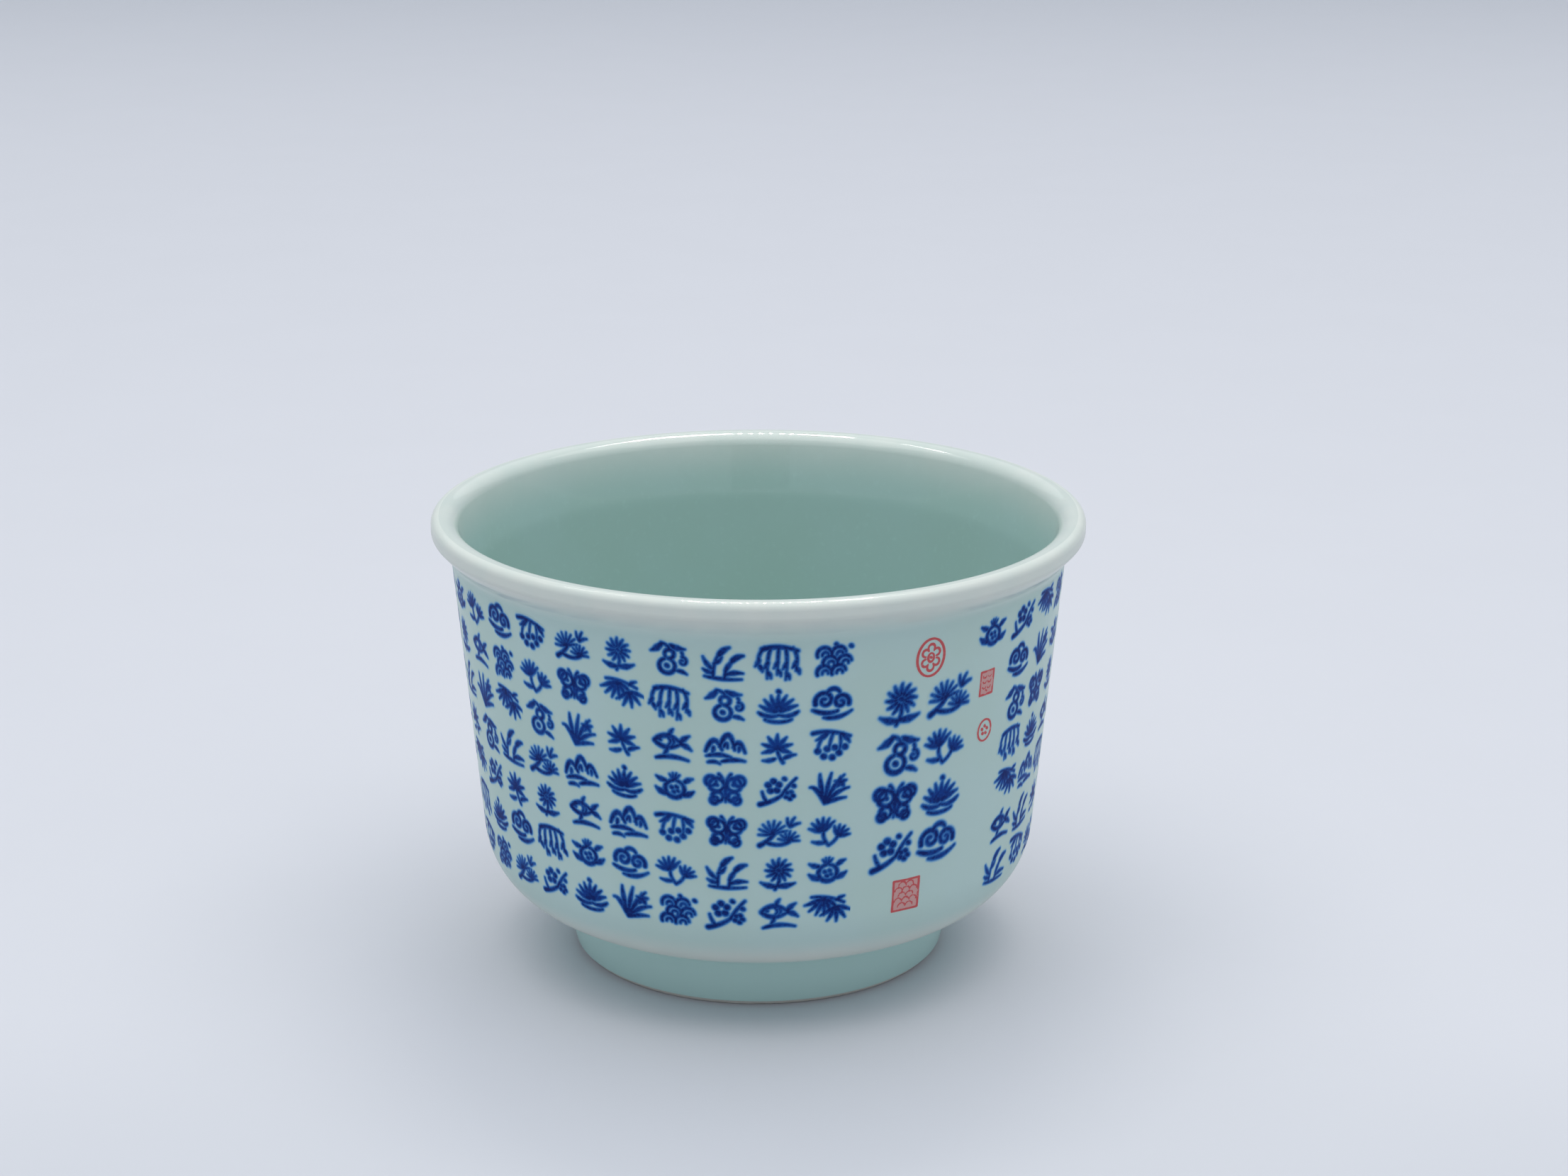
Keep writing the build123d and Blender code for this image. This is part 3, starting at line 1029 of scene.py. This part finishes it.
@dataclass(frozen=True)
class Stencil:
    """A flat patch cut to the reach of some strokes, with the colour's cover and load at its points."""

    ATTRIBUTE = "brush"

    strokes: Strokes
    size: Size
    pitch: float = 0.14
    bleed: float = 0.46
    core: float = 0.12
    thinning: float = 0.78

    def build(self) -> bpy.types.Mesh:
        """Cuts the patch out of a grid.

        Returns:
            The patch, flat on XY, in millimetres.
        """
        across, up = (max(4, round((length + 2 * self.bleed + 0.4) / self.pitch)) for length in self.size)
        deselect_all()
        bpy.ops.mesh.primitive_grid_add(x_subdivisions=across, y_subdivisions=up, size=1.0)
        patch = bpy.context.object
        mesh = patch.data
        places = self.flat(mesh) * np.array([across * self.pitch, up * self.pitch])
        depth, _ = self._measure(places)
        bpy.ops.object.mode_set(mode="EDIT")
        grid = bmesh.from_edit_mesh(mesh)
        grid.verts.ensure_lookup_table()
        for face in grid.faces:
            face.select_set(min(depth[vertex.index] for vertex in face.verts) > self.bleed)
        bpy.ops.mesh.delete(type="FACE")
        bpy.ops.object.mode_set(mode="OBJECT")
        places = self.flat(mesh) * np.array([across * self.pitch, up * self.pitch])
        places = self._snapped(places)
        depth, load = self._measure(places)
        mesh.vertices.foreach_set("co", np.column_stack([places, np.zeros(len(places))]).ravel())
        cover = np.clip((self.bleed - depth) / (self.bleed + self.core), 0.0, 1.0)
        colours = np.column_stack([cover, load, np.ones_like(cover), np.ones_like(cover)])
        attribute = mesh.attributes.new(self.ATTRIBUTE, "FLOAT_COLOR", "POINT")
        attribute.data.foreach_set("color", colours.ravel())
        mesh.update()
        bpy.data.objects.remove(patch)
        return mesh

    @staticmethod
    def flat(mesh: bpy.types.Mesh) -> np.ndarray:
        """The points' x and y."""
        flat = np.empty(len(mesh.vertices) * 3)
        mesh.vertices.foreach_get("co", flat)
        return flat.reshape(-1, 3)[:, :2]

    def _measure(self, places: np.ndarray) -> tuple[np.ndarray, np.ndarray]:
        """Measures points against the strokes.

        Args:
            places: Points, in millimetres.

        Returns:
            Their distance outside the nearest stroke's edge, and the load of colour there.
        """
        nearest = np.full(len(places), 1e3)
        load = np.zeros(len(places))
        for stroke in self.strokes:
            for start, end in zip(stroke, stroke[1:]):
                run = end[:2] - start[:2]
                share = np.clip((places - start[:2]) @ run / max(run @ run, 1e-9), 0.0, 1.0)
                width = self.thinning * (start[2] + share * (end[2] - start[2]))
                gap = np.linalg.norm(places - start[:2] - share[:, None] * run, axis=1) - width
                closer = gap < nearest
                nearest = np.where(closer, gap, nearest)
                load = np.where(closer | (gap < 0.0), start[3] + share * (end[3] - start[3]), load)
        return nearest, load

    def _snapped(self, places: np.ndarray) -> np.ndarray:
        """Pulls the points beyond the colour's reach back to its edge.

        Args:
            places: Points, in millimetres.

        Returns:
            The points, none beyond the reach.
        """
        probe = 0.01
        for _ in range(3):
            depth, _ = self._measure(places)
            slope = np.column_stack(
                [
                    (self._measure(places + step)[0] - self._measure(places - step)[0]) / (2 * probe)
                    for step in (np.array([probe, 0.0]), np.array([0.0, probe]))
                ]
            )
            places = places - slope * np.clip(depth - self.bleed, 0.0, None)[:, None]
        return places


# ---- Sub-assemblies -------------------------------------------------------------------------------------


@dataclass
class GlazeCoats:
    """The three coats of glaze: inside, outside and in the foot's well."""

    outline: CupOutline
    outside: Material
    inside: Material
    depth: float = 0.35
    steps: int = 256

    def build(self) -> None:
        """Turns the coats and dresses them."""
        coats = (
            ("celadon_inner_coat", self.outline.inner(), self.inside, "inner_glaze"),
            ("celadon_outer_coat", self.outline.outer(), self.outside, "outer_glaze"),
            ("celadon_well_coat", self.outline.well(), self.outside, "well_glaze"),
        )
        for name, face, material, node in coats:
            dress(turned_shell(name, face, self.depth, self.steps), material, Slot.GLAZE, (node,))


@dataclass(frozen=True)
class Manner:
    """How some marks are painted."""

    stencils: list[bpy.types.Mesh]
    size: Size
    drawn: Size
    material: Material
    slot: Slot

    @property
    def loose(self) -> bool:
        """Whether the hand turned and shifted each mark a little."""
        return self.slot is Slot.COBALT


@dataclass
class PaintedWall:
    """All that is brushed on the outside wall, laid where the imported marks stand."""

    outline: CupOutline
    cobalt: Material
    enamel: Material
    row_count: int = 7
    title_rows: int = 4
    mark_size: Size = (5.0, 4.35)
    title_size: Size = (6.1, 5.3)
    turn: float = 4.0
    growth: tuple[float, float] = (0.95, 1.03)
    shift: Size = (0.12, 0.1)
    strength: tuple[float, float] = (0.35, 1.0)
    raised: float = 0.015
    skin: float = 0.05
    seed: int = 11

    def __post_init__(self) -> None:
        """Reads the wall's radius at each height off the outline, and seeds the hand's unevenness."""
        heights = np.array([height for _, height in self.outline.outer()])
        radii = np.array([radius for radius, _ in self.outline.outer()])
        order = np.argsort(heights)
        self._heights, self._radii = heights[order], radii[order]
        self._hand = random.Random(self.seed)

    def build(self) -> None:
        """Paints the columns, the title columns and the seals."""
        makers = (
            bamboo, orchid, plum, pine, cloud, waves, berries, lotus, reeds,
            chrysanthemum, willow, pomegranate, ginkgo, fish, butterfly, maple, gourd, hills,
        )
        motifs = [Stencil(maker(), self.mark_size).build() for maker in makers]
        order = self._order(len(makers))
        columns = Manner(motifs, self.mark_size, self.mark_size, self.cobalt, Slot.COBALT)
        titles = Manner(motifs, self.title_size, self.mark_size, self.cobalt, Slot.COBALT)
        for node in sorted(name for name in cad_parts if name.startswith("cobalt_column_")):
            low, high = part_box(node)
            rows = self.row_count if (high.z - low.z) / MM > 2 * self.mark_size[1] else 1
            places = self._places(node, rows, self.mark_size[1])
            self._paint(node, [(next(order), place) for place in places], columns)
        for node in ("title_column_left", "title_column_right"):
            places = self._places(node, self.title_rows, self.title_size[1])
            self._paint(node, [(next(order), place) for place in places], titles)
        seals = (
            ("oval_seal", oval_rosette, (4.3, 5.2)), ("large_square_seal", lattice_square, (3.9, 4.3)),
            ("small_square_seal", wave_square, (2.6, 3.3)), ("round_seal", round_flower, (2.7, 3.1)),
        )
        for node, maker, size in seals:
            stencil = Stencil(maker(), size, pitch=0.09, bleed=0.16, core=0.06, thinning=1.0).build()
            seal = Manner([stencil], size, size, self.enamel, Slot.ENAMEL)
            self._paint(node, [(0, place) for place in self._places(node, 1, size[1])], seal)

    def _order(self, count: int) -> Iterator[int]:
        """Deals motif numbers without an end, each once before any comes again."""
        while True:
            deal = list(range(count))
            self._hand.shuffle(deal)
            yield from deal

    def _places(self, node: str, rows: int, height: float) -> list[tuple[float, float]]:
        """Finds where a packed column's marks stand.

        Args:
            node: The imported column.
            rows: How many marks it has.
            height: A mark's height, in millimetres.

        Returns:
            Each mark's angle from the front and its height above the table, from the top down.
        """
        low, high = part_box(node)
        points = np.array([vertex.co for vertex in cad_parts[node].data.vertices])
        angle = math.atan2(points[:, 0].mean(), -points[:, 1].mean())
        top, bottom = high.z / MM, low.z / MM
        half = height / 2
        pitch = (top - bottom - height) / max(rows - 1, 1)
        if rows == 1:
            return [(angle, (top + bottom) / 2)]
        return [(angle, top - half - row * pitch) for row in range(rows)]

    def _paint(self, node: str, marks: Sequence[tuple[int, tuple[float, float]]], manner: Manner) -> None:
        """Lays a column of marks on the wall.

        Args:
            node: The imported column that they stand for.
            marks: Each mark's stencil number, and its angle and height.
            manner: How they are painted.
        """
        pieces = []
        grown = np.array(manner.size) / np.array(manner.drawn)
        for number, (angle, height) in marks:
            mesh = manner.stencils[number].copy()
            piece = bpy.data.objects.new(f"{node}_mark", mesh)
            bpy.context.scene.collection.objects.link(piece)
            places = Stencil.flat(mesh)
            turn = math.radians(self._hand.uniform(-self.turn, self.turn)) if manner.loose else 0.0
            grow = self._hand.uniform(*self.growth) if manner.loose else 1.0
            spin = np.array([[math.cos(turn), math.sin(turn)], [-math.sin(turn), math.cos(turn)]])
            places = (places * grown * grow) @ spin
            if manner.loose:
                places = places + [self._hand.uniform(-reach, reach) for reach in self.shift]
            self._wrap(mesh, places, angle, height)
            self._tone(mesh, self._hand.uniform(*self.strength))
            pieces.append(piece)
        deselect_all()
        for piece in pieces:
            piece.select_set(True)
        bpy.context.view_layer.objects.active = pieces[0]
        if len(pieces) > 1:
            bpy.ops.object.join()
        column = name_piece(bpy.context.object, f"brushed_{node}")
        skin = column.modifiers.new("skin", "SOLIDIFY")
        skin.thickness = self.skin * MM
        skin.offset = -1.0
        bpy.ops.object.modifier_apply(modifier=skin.name)
        bpy.ops.object.shade_smooth_by_angle(angle=SMOOTH_ANGLE)
        dress(column, manner.material, manner.slot, (node,))

    def _wrap(self, mesh: bpy.types.Mesh, places: np.ndarray, angle: float, height: float) -> None:
        """Bends a flat patch round the wall.

        Args:
            mesh: The patch, which is changed.
            places: Its points, in millimetres.
            angle: The patch's middle, from the front.
            height: The patch's middle, above the table.
        """
        up = height + places[:, 1]
        radius = np.interp(up, self._heights, self._radii) + self.raised
        around = angle + places[:, 0] / np.interp(height, self._heights, self._radii)
        wrapped = np.column_stack([radius * np.sin(around), -radius * np.cos(around), up]) * MM
        mesh.vertices.foreach_set("co", wrapped.ravel())
        mesh.update()

    @staticmethod
    def _tone(mesh: bpy.types.Mesh, tone: float) -> None:
        """Sets how strongly one mark took the colour, 0 to 1."""
        attribute = mesh.attributes[Stencil.ATTRIBUTE]
        colours = np.empty(len(attribute.data) * 4)
        attribute.data.foreach_get("color", colours)
        colours[2::4] = tone
        attribute.data.foreach_set("color", colours)


@dataclass
class Clay:
    """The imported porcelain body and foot, which keep their shape."""

    material: Material
    nodes: tuple[str, ...] = ("bowl_body", "foot_ring")

    def build(self) -> None:
        """Puts the bare porcelain finish on the packed clay."""
        for node in self.nodes:
            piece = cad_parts[node]
            piece.data.materials.clear()
            piece.data.materials.append(self.material)
            log.info("%s: bare porcelain", node)


@dataclass(frozen=True)
class LampRow:
    """Lamps side by side, each a flat glowing strip, in metres."""

    name: str
    place: Sequence[float]
    size: Size
    strength: float
    count: int = 1
    step: float = 0.0
    colour: Colour = (1.0, 0.98, 0.94)

    def build(self) -> None:
        """Hangs the row, for the gloss alone to mirror."""
        row = standing_plane(self.name, self.place, self.size, 0.0)
        if self.count > 1:
            repeat = row.modifiers.new("lamps", "ARRAY")
            repeat.count = self.count
            repeat.use_relative_offset = False
            repeat.use_constant_offset = True
            repeat.constant_offset_displace = (self.step, 0.0, 0.0)
            bpy.ops.object.modifier_apply(modifier=repeat.name)
        shader = Shader(f"{self.name}_glow")
        black = (0.0, 0.0, 0.0)
        glow = shader.finish(Base_Color=black, Emission_Color=self.colour, Emission_Strength=self.strength)
        row.data.materials.append(glow)
        row.visible_transmission = False
        row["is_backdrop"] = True


@dataclass
class Studio:
    """A pale sweep, soft light from above, and the camera. Lengths are in metres."""

    lens: float = 70.31
    back: float = 370.92 * MM
    above: float = 160.37 * MM
    pitch: float = math.radians(17.013)
    yaw: float = math.radians(0.4959)
    roll: float = math.radians(0.1431)
    sensor: float = 36.0
    floor_colour: Colour = (0.615, 0.624, 0.655)
    # Painted shade: the floor colour is multiplied by this far off, where the overhead light falls away, and
    # near the camera as a painted shadow.
    floor_painted_shade: Colour = (0.74, 0.77, 0.79)
    floor_radius: float = 0.25
    sweep_rings: tuple[Size, ...] = (
        (0.8, 0.0), (1.9, 0.0), (2.2, 0.06), (2.45, 0.22), (2.6, 0.5), (2.65, 1.0)
    )
    sky_colour: Colour = (0.84, 0.90, 1.0)
    sky_strength: float = 0.785
    softbox_place: Sequence[float] = (0.0, -0.02, 1.65)
    softbox_size: Size = (2.6, 1.8)
    softbox_power: float = 21.1
    softbox_colour: Colour = (1.0, 0.985, 0.96)
    card_place: Sequence[float] = (-0.005, -0.385, 0.15)
    card_size: Size = (0.17, 0.085)
    card_shade: float = 0.01
    lamps: tuple[LampRow, ...] = (
        LampRow("lamp_row", (-0.085, 0.275, 0.6), (0.0032, 0.07), 230.0, count=25, step=0.0092),
        LampRow("lamp_panel_left", (-0.23, 0.275, 0.6), (0.13, 0.05), 14.0),
        LampRow("lamp_panel_right", (0.18, 0.275, 0.6), (0.075, 0.05), 14.0),
    )

    def build(self) -> None:
        """Makes the stage, the lights and the camera."""
        self._camera()
        self._sweep()
        self._sky()
        self._softbox()
        self._card()
        for row in self.lamps:
            row.build()
        bpy.context.scene.view_settings.view_transform = "Standard"
        bpy.context.scene.view_settings.look = "None"

    def _camera(self) -> None:
        """Aims the camera."""
        level = Vector((math.sin(self.yaw), math.cos(self.yaw), 0.0))
        right = Vector((level.y, -level.x, 0.0))
        ahead = level * math.cos(self.pitch) - Vector((0.0, 0.0, math.sin(self.pitch)))
        up = right.cross(ahead)
        tilted_right = right * math.cos(self.roll) + up * math.sin(self.roll)
        tilted_up = up * math.cos(self.roll) - right * math.sin(self.roll)
        lens = bpy.data.cameras.new("camera")
        lens.lens = self.lens
        lens.sensor_width = self.sensor
        lens.clip_start = 0.01
        camera = bpy.data.objects.new("camera", lens)
        turn = Matrix((tilted_right, tilted_up, -ahead)).transposed().to_4x4()
        camera.matrix_world = Matrix.Translation((0.0, -self.back, self.above)) @ turn
        bpy.context.scene.collection.objects.link(camera)
        bpy.context.scene.camera = camera

    def _sweep(self) -> None:
        """Makes a round table top whose far edge curves up, its colour darkened far off and near the camera
        as painted shade.
        """
        deselect_all()
        bpy.ops.mesh.primitive_circle_add(vertices=96, radius=self.floor_radius, fill_type="NGON")
        sweep = name_piece(bpy.context.object, "sweep")
        bpy.ops.object.mode_set(mode="EDIT")
        bpy.ops.mesh.select_all(action="SELECT")
        for radius, rise in self.sweep_rings:
            bpy.ops.mesh.select_mode(type="EDGE")
            self._grow_rim(sweep, radius, rise)
        bpy.ops.mesh.select_all(action="SELECT")
        bpy.ops.mesh.normals_make_consistent(inside=False)
        bpy.ops.object.mode_set(mode="OBJECT")
        bpy.ops.object.shade_smooth()
        shader = Shader("sweep_finish")
        paper = shader.noise(30.0 * MM, 3.0)
        duller = tuple(0.97 * part for part in self.floor_colour)
        colour = shader.mix(shader.ramp(paper, 0.3, 0.7, 0.0, 0.25), self.floor_colour, duller)
        parts = shader.node("ShaderNodeSeparateXYZ")
        shader.feed(parts.inputs[0], shader.place)
        # Painted shade: the floor darkens far behind the cup.
        far = shader.ramp(parts.outputs["Y"], 0.6, 1.7, 0.0, 0.75)
        # Painted shadow: the floor darkens towards the camera.
        near = shader.ramp(parts.outputs["Y"], -0.02, -0.08, 0.0, 0.36)
        painted_shade_colour = tuple(part * shade for part, shade in zip(self.floor_colour, self.floor_painted_shade))
        colour = shader.mix(shader.maths("ADD", far, near), colour, painted_shade_colour)
        fine = shader.bump(shader.noise(0.8 * MM, 2.0), 0.02 * MM, 0.3)
        sweep.data.materials.append(shader.finish(Base_Color=colour, Roughness=0.6, Normal=fine))
        sweep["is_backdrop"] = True

    @staticmethod
    def _grow_rim(sweep: bpy.types.Object, radius: float, rise: float) -> None:
        """Extrudes the sweep's outer edge to a new radius and height."""
        mesh = bmesh.from_edit_mesh(sweep.data)
        rim = [edge for edge in mesh.edges if edge.is_boundary or len(edge.link_faces) < 2]
        reach = max(vertex.co.xy.length for edge in rim for vertex in edge.verts)
        height = max(vertex.co.z for edge in rim for vertex in edge.verts)
        bpy.ops.mesh.select_all(action="DESELECT")
        for edge in rim:
            edge.select_set(True)
        bmesh.update_edit_mesh(sweep.data)
        bpy.ops.mesh.extrude_edges_move()
        grow = radius / reach
        bpy.ops.transform.resize(value=(grow, grow, 1.0), center_override=(0.0, 0.0, 0.0))
        bpy.ops.transform.translate(value=(0.0, 0.0, rise - height))

    def _sky(self) -> None:
        """Fills the room with pale light."""
        world = bpy.data.worlds.new("room")
        world.use_nodes = True
        background = world.node_tree.nodes["Background"]
        background.inputs["Color"].default_value = (*self.sky_colour, 1.0)
        background.inputs["Strength"].default_value = self.sky_strength
        bpy.context.scene.world = world

    def _softbox(self) -> None:
        """Hangs an area light over the cup, aimed at its foot."""
        light = bpy.data.lights.new("overhead_softbox", "AREA")
        light.shape = "RECTANGLE"
        light.size, light.size_y = self.softbox_size
        light.energy = self.softbox_power
        light.color = self.softbox_colour
        lamp = bpy.data.objects.new("overhead_softbox", light)
        lamp.location = self.softbox_place
        lamp.rotation_euler = (-Vector(self.softbox_place)).to_track_quat("-Z", "Y").to_euler()
        bpy.context.scene.collection.objects.link(lamp)

    def _card(self) -> None:
        """Stands a dark card beside the camera, for the gloss alone to mirror."""
        card = standing_plane("small_card", self.card_place, self.card_size, math.radians(90.0))
        shade = (self.card_shade, self.card_shade, self.card_shade)
        card.data.materials.append(Shader("small_card_finish").finish(Base_Color=shade, Roughness=0.9))
        card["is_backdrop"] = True


def main() -> None:
    """Builds the cup and its studio, and notes the sizes."""
    logging.basicConfig(level=logging.INFO, format="%(name)s %(message)s")
    low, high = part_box("outer_glaze")
    outline = CupOutline(rim_radius=high.x / MM, cup_height=high.z / MM)
    outside = CeladonGlaze()
    # The inside is a darker copy of the outer glaze, painted shade for the hollow; its upper whitening is
    # thin glaze and painted highlight.
    inside = CeladonGlaze(
        "celadon_inner_painted_shade_finish",
        body=(0.375, 0.535, 0.485), body_cool=(0.385, 0.545, 0.505),
        lip_start=50.5 * MM, lip_end=59.5 * MM, pool_top=0.0, pool_bottom=-1.0, edge_thinning_and_reflection=0.0, gloss=0.8,
    )
    cobalt = PaintFinish(
        "cobalt_finish",
        line=(0.001, 0.015, 0.13), line_thin=(0.003, 0.045, 0.26),
        wash=(0.008, 0.085, 0.35), wash_thin=(0.022, 0.15, 0.45), halo=(0.13, 0.36, 0.62),
    )
    enamel = PaintFinish(
        "red_enamel_finish",
        line=(0.54, 0.10, 0.105), line_thin=(0.58, 0.33, 0.31),
        wash=(0.57, 0.33, 0.32), wash_thin=(0.54, 0.44, 0.42), halo=(0.50, 0.50, 0.47),
        line_start=0.35, line_end=0.7, wash_strength=0.6, pigment_thin=0.22, pigment_full=0.45,
    )
    Clay(BareClay().build()).build()
    GlazeCoats(outline, outside.build(), inside.build()).build()
    PaintedWall(outline, cobalt.build(), enamel.build()).build()
    Studio().build()
    boxes = (("cad", CAD_BOUNDS), ("visual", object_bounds()))
    sizes = {name: [list(corner) for corner in box] for name, box in boxes}
    log.info("sizes %s", sizes)


if __name__ == "__main__":
    main()
